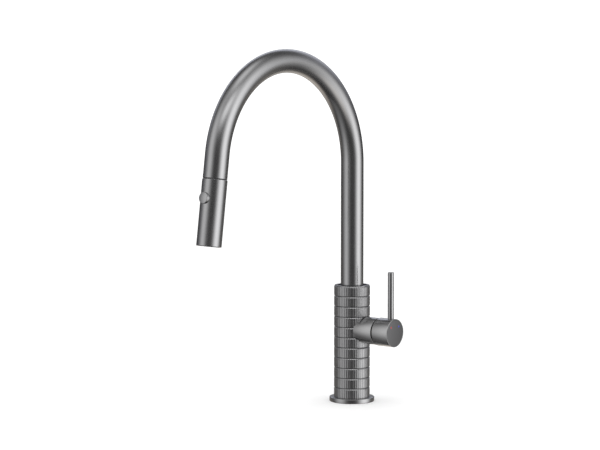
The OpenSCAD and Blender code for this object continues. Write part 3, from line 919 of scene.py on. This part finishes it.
@dataclass
class Column(Assembly):
    """The round column: reeded bands stacked on a core, with a rim round the spout."""

    radius: float = 20.65
    core_r: float = 19.6
    rim_h: float = 0.7
    rim_edge: float = 0.2
    bore_r: float = 17.0
    low: float = 5.0
    top: float = 134.5
    bands: int = 11
    reeds: int = 48
    groove_w: float = 0.9
    flute_depth: float = 0.55
    flute_w: float = 0.5
    crown: float = 0.13
    crown_steps: int = 6
    foot: tuple[float, float] = (0.3, 0.25)
    shoulder: tuple[float, float] = (0.9, 0.48)
    sunk: float = 0.05
    band_sharp: float = 14.0
    rim_r: float = 20.0
    shank_r: float = 16.5
    bore_low: float = 30.0
    screw_z: float = 104.5
    screw_r: float = 2.0
    screw_hole: tuple[float, float] = (12.0, 24.0)

    def band(self, pitch: float) -> Piece:
        """Makes one reeded band at the foot of the column.

        Args:
            pitch: Height from one band to the next.

        Returns:
            The band.
        """
        step = tau / self.reeds
        half = self.flute_w / self.radius / 2
        section: list[tuple[float, float]] = []
        for reed in range(self.reeds):
            section.append((reed * step, self.radius - self.flute_depth))
            for part in range(self.crown_steps + 1):
                across = 2 * part / self.crown_steps - 1
                section.append((
                    reed * step + half + (step - 2 * half) * (across + 1) / 2,
                    self.radius - self.crown * across * across,
                ))
        height = pitch - self.groove_w
        rise, inset = self.shoulder
        foot_rise, foot_inset = self.foot
        levels = [(0.0, foot_inset), (foot_rise, 0.0), (height - rise, 0.0), (height, inset)]
        rows = [
            (z, [max(radius - inward, self.core_r - self.sunk) for _, radius in section])
            for z, inward in levels
        ]
        count = len(section)
        rows += [(z, [self.core_r - 2 * self.sunk] * count) for z in (height, 0.0)]
        verts = [
            (radius * cos(angle), radius * sin(angle), self.low + z)
            for z, radii in rows for radius, (angle, _) in zip(radii, section)
        ]
        faces = []
        for level in range(len(rows)):
            upper = (level + 1) % len(rows)
            for index in range(count):
                after = (index + 1) % count
                faces.append((
                    level * count + index, level * count + after,
                    upper * count + after, upper * count + index,
                ))
        return mesh_piece("reeded_band", verts, faces, self.band_sharp)

    def build(self) -> None:
        """Stacks the bands on the core and drills the hole for the spout's screw."""
        pitch = (self.top - self.low) / self.bands
        material = self.finishes.column.material()
        stack = self.band(pitch)
        stacking_tool().run(stack, Count=self.bands, Pitch=pitch * MM, Material=material)
        under_rim = self.top - self.rim_h
        lip = ring_outline(self.bore_r, self.rim_r, under_rim, self.top)
        rim = turned("column_rim", lip, Matrix(), edge=self.rim_edge, sides=144)
        column = join("reeded_column", [stack, rim])
        cut(column, self.drill())
        mount(column, Body.ROOT, material, ["body_column"])
        # the core shows only in the grooves between the bands; its dark finish is painted shade
        # there
        core = turned("column_core", [
            (self.shank_r, self.low), (self.core_r, self.low), (self.core_r, under_rim),
            (self.bore_r, under_rim), (self.bore_r, self.bore_low), (self.shank_r, self.bore_low),
        ], Matrix(), sides=144)
        cut(core, self.drill())
        mount(core, Body.ROOT, self.finishes.groove.material(), ["body_column"])

    def drill(self) -> Piece:
        """Makes the tool that drills the hole for the spout's screw and returns it."""
        place = Matrix.Translation((0, 0, self.screw_z)) @ Matrix.Rotation(-pi / 2, 4, "X")
        return turned("drill", ring_outline(0, self.screw_r, *self.screw_hole), place, sides=32)


@dataclass
class Valve(Assembly):
    """The housing that joins the column to the handle."""

    radius: float = 15.4
    bore_r: float = 12.6
    start_x: float = 10.0
    end_x: float = 38.6
    column_r: float = 19.6
    edge: float = 0.35

    def build(self) -> None:
        """Turns the sleeve and fits its inner end to the column's curve."""
        wall = ring_outline(self.bore_r, self.radius, self.start_x, self.end_x)
        sleeve = turned("valve_sleeve", wall, self.layout.along_x(0), sides=128)
        for vert in sleeve.data.vertices:
            if vert.co.x < (self.start_x + 1) * MM:
                vert.co.x = sqrt((self.column_r * MM) ** 2 - vert.co.y ** 2)
        bevel(sleeve, self.edge, 3)
        settle(sleeve)
        tidy(sleeve)
        mount(sleeve, Body.ROOT, self.finishes.turned.material(), ["valve_housing"])


@dataclass
class Handle(Assembly):
    """The round hub, its end disc with the two temperature dots, and the upright lever."""

    hub_x: float = 40.5
    hub_len: float = 21.5
    hub_r: float = 16.0
    wall_r: float = 14.8
    cavity: float = 11.0
    boss: tuple[float, float] = (8.0, 4.1)
    disc_r: float = 15.1
    disc_t: float = 2.2
    disc_sunk: float = 0.12
    disc_gap: float = 0.1
    lever_x: float = 55.8
    lever_r: float = 3.5
    lever_low: float = 15.31
    lever_top: float = 68.8
    dot_at: tuple[float, float] = (7.2, 7.0)
    dot_r: float = 1.0
    dot_profile: Outline = ((0, -0.3), (1, -0.3), (1, 0.03), (0.6, 0.09), (0, 0.1))
    grub_x: float = 48.2
    grub_r: float = 2.0
    grub_wide: float = 2.4
    grub_depths: tuple[float, float, float] = (-18.0, -14.0, -3.3)

    def hub(self) -> None:
        """Turns the hub with its hollow, and drills it from below for the grub screw."""
        boss_r, boss_z = self.boss
        bed = self.hub_len - self.disc_t
        hub = turned("handle_hub_shell", [
            (self.wall_r, 0), (self.hub_r, 0), (self.hub_r, self.hub_len),
            (self.disc_r, self.hub_len), (self.disc_r, bed), (0, bed), (0, boss_z),
            (boss_r, boss_z), (boss_r, self.cavity), (self.wall_r, self.cavity),
        ], self.layout.along_x(self.hub_x), edge=0.4, sides=128)
        below = Matrix.Translation((self.grub_x, 0, self.layout.valve_z))
        mouth, seat, tip = self.grub_depths
        drill = turned("drill", [
            (0, mouth), (self.grub_wide, mouth), (self.grub_wide, seat), (self.grub_r, seat),
            (self.grub_r, tip), (0, tip),
        ], below, sides=32)
        cut(hub, drill)
        mount(hub, Body.HANDLE, self.finishes.turned.material(), ["handle_hub"])

    def disc(self) -> None:
        """Turns the end disc and its two enamelled dots."""
        end = self.hub_len - self.disc_sunk
        plate = ring_outline(0, self.disc_r - self.disc_gap, self.hub_len - self.disc_t, end)
        disc = turned("end_disc", plate, self.layout.along_x(self.hub_x), edge=0.25)
        mount(disc, Body.HANDLE, self.finishes.face.material(), ["hub_face"])
        across, up = self.dot_at
        for name, side, slot in (("hot_dot", -1, Slot.HOT_RED), ("cold_dot", 1, Slot.COLD_BLUE)):
            place = Matrix.Translation((0, side * across, up)) @ self.layout.along_x(self.hub_x)
            drop = [(self.dot_r * share, end + rise) for share, rise in self.dot_profile]
            dot = turned(name, drop, place, edge=0.04, sides=32)
            node = name.replace("dot", "mark")
            mount(dot, Body.HANDLE, self.finishes.slot_material(slot), [node])

    def lever(self) -> None:
        """Turns the lever with its softened tip."""
        rod = ring_outline(0, self.lever_r, self.lever_low, self.lever_top)
        place = Matrix.Translation((self.lever_x, 0, self.layout.valve_z))
        lever = turned("lever_rod", rod, place, edge=0.6, sides=64)
        mount(lever, Body.HANDLE, self.finishes.rod.material(), ["handle_lever"])

    def build(self) -> None:
        """Builds every piece of the handle."""
        self.hub()
        self.disc()
        self.lever()


@dataclass
class Spout(Assembly):
    """The gooseneck tube and the braided hose inside it."""

    tube_r: float = 13.0
    wall: float = 1.2
    tube_z: float = 109.0
    hose_r: float = 5.5
    hose_low: float = -72.0
    run_length: float = 24.0
    stretch: float = 14.0
    tube_step: float = 2.4
    tail_stops: tuple[float, ...] = (0.33, 0.66, 0.98, 1.0)
    end_edge: float = 0.25
    fine_step: float = 0.2
    fine_past: float = 0.5
    hose_step: float = 4.0

    def gooseneck(self) -> None:
        """Sweeps the tube round the bend and down to the joint line."""
        points = self.layout.route(self.tube_z, lambda left: self.tube_step)
        down = self.layout.bend_end()
        points += [down @ Vector((0, 0, self.layout.tail * part)) for part in self.tail_stops]
        material = self.finishes.tube.material()
        tube = self.swept("gooseneck", points, self.tube_r, 72, material, capped=False)
        wall = tube.modifiers.new("wall", "SOLIDIFY")
        wall.thickness = self.wall * MM
        wall.offset = -1.0
        wall.use_even_offset = True
        bevel(tube, self.end_edge, 2)
        settle(tube)
        mount(tube, Body.SPOUT, material, ["spout_tube", "spout_socket"])

    def hose(self) -> None:
        """Sweeps the hose: the part that stays in the spout, and the run that pays out."""
        end = self.layout.bend_end()
        fine = self.stretch + self.fine_past
        points = self.layout.route(
            self.hose_low, lambda left: self.fine_step if left < fine else self.hose_step
        )
        split = next(
            index for index, point in enumerate(points)
            if (point - end.translation).length < self.run_length
        )
        braid = BraidedNylon("nylon_braid_tail").material()
        tail = self.swept("hose_tail", points[:split + 1], self.hose_r, 32, braid)
        mount(tail, Body.SPOUT, braid, ["pull_hose"])
        braid = BraidedNylon(
            "nylon_braid_run", through=tuple(end.translation), tilt=self.layout.arch_angle
        ).material()
        run = self.swept("hose_run", points[split:], self.hose_r, 32, braid)
        spread = radians(self.layout.arch_angle) - self.stretch / self.layout.arch_r
        bridge(
            run, braid, "pull_hose",
            (self.layout.on_bend(spread), end.translation),
        )

    def build(self) -> None:
        """Builds the tube and the hose."""
        self.gooseneck()
        self.hose()


@dataclass
class SprayHead(Assembly):
    """The pull-down head's trim: ferrule, nozzles and button."""

    ferrule_r: float = 6.3
    ferrule: tuple[float, float] = (-25.5, -13.5)
    ferrule_bore: float = 3.8
    crimps: int = 5
    crimp: tuple[float, float, float] = (0.6, 0.25, 0.5)
    mat_at: float = 62.0
    mat_t: float = 3.0
    mat_r: tuple[float, float] = (6.0, 11.85)
    nozzle_end: float = 70.4
    nozzle_tip: Outline = ((0.78, -0.7), (0.62, 0), (0.34, 0), (0.3, -1.2), (0, -1.2))
    nozzle_rings: tuple[tuple[float, int], ...] = ((7.9, 12), (10.2, 18))
    button_at: float = 21.5
    button_out: float = 16.4
    button_len: float = 6.7
    button_r: float = 5.9
    button_wall: float = 1.2
    button_hollow: float = 3.0
    dome: float = 0.5
    dome_steps: int = 8
    lip: float = 0.35
    lip_inset: float = 0.12
    lip_steps: int = 9
    coil: tuple[float, float, int] = (3.7, 0.34, 4)
    coil_out: tuple[float, float] = (7.56, 13.04)
    coil_steps: int = 28

    def crimped_ferrule(self) -> None:
        """Turns the ferrule with its row of crimped rings."""
        low, high = self.ferrule
        wide, narrow, depth = self.crimp
        neck = self.ferrule_r - depth
        outline = [(self.ferrule_bore, low), (self.ferrule_r, low)]
        step = (high - low) / (self.crimps + 1)
        for crimp in range(self.crimps):
            middle = low + step * (crimp + 1)
            outline += [
                (self.ferrule_r, middle - wide), (neck, middle - narrow),
                (neck, middle + narrow), (self.ferrule_r, middle + wide),
            ]
        outline += [(self.ferrule_r, high), (self.ferrule_bore, high)]
        ferrule = turned("crimped_ferrule", outline, self.layout.dock(), edge=0.2, sides=64)
        steel = self.finishes.slot_material(Slot.STEEL)
        mount(ferrule, Body.HOSE_END, steel, ["hose_ferrule"])

    def nozzles(self) -> None:
        """Makes the rubber mat and repeats its nozzles in two rings."""
        material = self.finishes.slot_material(Slot.BLACK_RUBBER)
        circle = circling_tool()
        inner, outer = self.mat_r
        low, high = self.mat_at, self.mat_at + self.mat_t
        parts = [turned("mat", ring_outline(inner, outer, low, high), Matrix())]
        start, end = low + 1, self.nozzle_end
        outline = [(0, start), (self.nozzle_tip[0][0], start)]
        outline += [(radius, end + past) for radius, past in self.nozzle_tip]
        for radius, count in self.nozzle_rings:
            nozzle = turned("nozzle", outline, Matrix(), edge=0.08, sides=20)
            circle.run(nozzle, Count=count, Radius=radius * MM, Material=material)
            parts.append(nozzle)
        mat = join("nozzle_ring", parts)
        move(mat, self.layout.dock())
        tidy(mat)
        mount(mat, Body.SPRAY_HEAD, material, ["nozzle_mat"])

    def button(self) -> None:
        """Turns the button with a shallow dome and a soft edge."""
        skirt = self.button_r - self.button_wall
        top = self.button_len
        rim = top - self.dome - self.lip
        outline = [(skirt, 0), (self.button_r, 0), (self.button_r, rim)]
        for step in range(1, self.lip_steps):
            angle = radians(90 * step / self.lip_steps)
            inset = self.lip_inset * (1 - cos(angle))
            outline.append((self.button_r * (1 - inset), rim + self.lip * sin(angle)))
        for step in range(1, self.dome_steps):
            share = 1 - step / self.dome_steps
            across = self.button_r * (1 - self.lip_inset) * share
            outline.append((across, top - self.dome * share * share))
        under = top - self.button_hollow
        outline += [(0, top), (0, under), (skirt, under)]
        place = self.layout.button(self.button_at, self.button_out - self.button_len)
        button = turned("button_dome", outline, place, sides=64)
        material = self.finishes.head.material()
        mount(button, Body.SPRAY_BUTTON, material, ["button_cap"])

    def return_spring(self) -> None:
        """Winds the button's spring at its rest length."""
        radius, wire, turns = self.coil
        low, high = self.coil_out
        place = self.layout.button(self.button_at, 0.0)
        steps = turns * self.coil_steps
        points = [
            place @ polar(
                radius, tau * turns * step / steps, low + (high - low) * step / steps
            )
            for step in range(steps + 1)
        ]
        material = self.finishes.slot_material(Slot.STEEL)
        coil = self.swept("return_spring", points, wire, 10, material)
        bridge(
            coil, material, "button_spring",
            (place @ Vector((0, 0, low)), place @ Vector((0, 0, high))),
        )

    def build(self) -> None:
        """Builds every piece of the head's trim."""
        self.crimped_ferrule()
        self.nozzles()
        self.button()
        self.return_spring()


# ---- Studio ----


@dataclass(frozen=True)
class SoftBox:
    """A soft patch of light on the studio's dome.

    Its azimuth is turned from the direction in which the faucet faces. Its width and
    height are the angles at which it has faded to half.
    """

    azimuth: float
    elevation: float
    width: float
    height: float
    strength: float
    tint: Colour = (1.0, 1.0, 1.0)


@dataclass
class Studio:
    """Camera, pale floor and soft light."""

    eye: tuple[float, float, float] = (1.2988, -1.6501, 0.3614)
    heading: float = 39.84
    pitch: float = -4.31
    lens: float = 110.1
    facing: float = -51.8
    sensor: float = 36.0
    farthest: float = 20.0
    floor_size: float = 8.0
    room_white: float = 1.25
    dim: Colour = (0.085, 0.083, 0.083)
    boxes: tuple[SoftBox, ...] = (
        SoftBox(69, 3, 26, 38, 2.0),
        SoftBox(-62, 15, 25, 47, 1.05),
        SoftBox(180, 28, 42, 12, 1.0, (0.93, 0.96, 1.08)),
        SoftBox(180, -24, 40, 11, 0.6, (1.08, 1.0, 0.9)),
        SoftBox(0, 88, 17, 17, 0.9),
        SoftBox(8, 46, 22, 12, 1.7),
        SoftBox(57, -48, 22, 15, 0.75, (1.05, 1.0, 0.94)),
        SoftBox(198, -44, 22, 13, 0.75, (1.1, 1.0, 0.88)),
    )

    def camera(self) -> None:
        """Places the camera."""
        data = bpy.data.cameras.new("studio_camera")
        data.lens = self.lens
        data.sensor_width = self.sensor
        data.clip_end = self.farthest
        camera = show("studio_camera", data)
        turn, tip = radians(self.heading), radians(self.pitch)
        forward = Vector((
            -sin(turn) * cos(tip), cos(turn) * cos(tip), sin(tip),
        ))
        camera.location = self.eye
        camera.rotation_euler = forward.to_track_quat("-Z", "Y").to_euler()
        bpy.context.scene.camera = camera

    def add_box(self, room: Tree, way: Socket, glow: Socket, box: SoftBox) -> Socket:
        """Adds one soft box to the light that the room mirrors.

        Args:
            room: The world's tree.
            way: The direction that is looked in.
            glow: The light so far.
            box: The soft box.

        Returns:
            The light with the box.
        """
        turn = (0, radians(-box.elevation), radians(self.facing + box.azimuth))
        wide, high = (2 * sin(radians(size)) for size in (box.width, box.height))
        faced = room.add(
            "ShaderNodeMapping", {"Vector": way, "Rotation": turn, "Scale": (1, wide, high)},
            vector_type="TEXTURE",
        ).outputs["Vector"]
        parts = room.add("ShaderNodeSeparateXYZ", {"Vector": faced}).outputs
        flat = room.add("ShaderNodeCombineXYZ", {"Y": parts["Y"], "Z": parts["Z"]})
        away = room.vector_math("LENGTH", {0: flat.outputs["Vector"]}).outputs["Value"]
        fall = room.add(
            "ShaderNodeMapRange",
            {"Value": away, "From Min": 0.0, "From Max": 1.0, "To Min": box.strength,
             "To Max": 0.0},
            interpolation_type="SMOOTHERSTEP",
        ).outputs["Result"]
        lit = room.math("MULTIPLY", fall, room.math("GREATER_THAN", parts["X"], 0.0))
        tinted = room.vector_math("SCALE", {0: box.tint, "Scale": lit}).outputs["Vector"]
        return room.vector_math("ADD", {0: glow, 1: tinted}).outputs["Vector"]

    def light(self) -> None:
        """Surrounds the faucet with a white room whose reflections are soft boxes."""
        world = bpy.data.worlds.new("studio_room")
        world.use_nodes = True
        bpy.context.scene.world = world
        room = Tree(world.node_tree)
        way = room.add("ShaderNodeTexCoord", {}).outputs["Generated"]
        glow = room.add("ShaderNodeCombineXYZ", dict(zip("XYZ", self.dim))).outputs["Vector"]
        for box in self.boxes:
            glow = self.add_box(room, way, glow, box)
        mirrored = room.add("ShaderNodeBackground", {"Color": glow})
        white = room.add(
            "ShaderNodeBackground", {"Color": (1, 1, 1, 1), "Strength": self.room_white}
        )
        mix = room.add("ShaderNodeMixShader", {
            "Fac": room.add("ShaderNodeLightPath", {}).outputs["Is Glossy Ray"],
            1: white.outputs["Background"],
            2: mirrored.outputs["Background"],
        })
        room.add("ShaderNodeOutputWorld", {"Surface": mix.outputs["Shader"]})
        bpy.context.scene.view_settings.view_transform = "Standard"

    def floor(self) -> None:
        """Lays the pale floor level with the underside of the flange."""
        bpy.ops.mesh.primitive_plane_add(size=self.floor_size, location=(0, 0, 0))
        floor = bpy.context.object
        floor.name = "studio_floor"
        recipe = Recipe("pale_floor")
        grain = recipe.noise(recipe.own_place(), 40.0, 2.0)
        floor.data.materials.append(recipe.surface(
            Base_Color=recipe.blend(grain, (0.915, 0.915, 0.915), (0.93, 0.93, 0.93)),
            Roughness=0.9, Specular_IOR_Level=0.0,
        ))
        floor.visible_glossy = False

    def build(self) -> None:
        """Sets up the whole studio."""
        self.camera()
        self.light()
        self.floor()


def main() -> None:
    """Loads the frame, builds every piece on it and sets up the studio."""
    logging.basicConfig(level=logging.INFO, format="%(name)s %(message)s")
    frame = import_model()
    layout = Layout()
    sweep = sweeping_tool()
    finishes = Finishes()
    finishes.dress_nodes(frame["nodes"])
    for kind in (DeckMount, Column, Valve, Handle, Spout, SprayHead):
        kind(finishes, layout, sweep).build()
        LOG.info("built %s", kind.__name__)
    Studio().build()


if __name__ == "__main__":
    main()
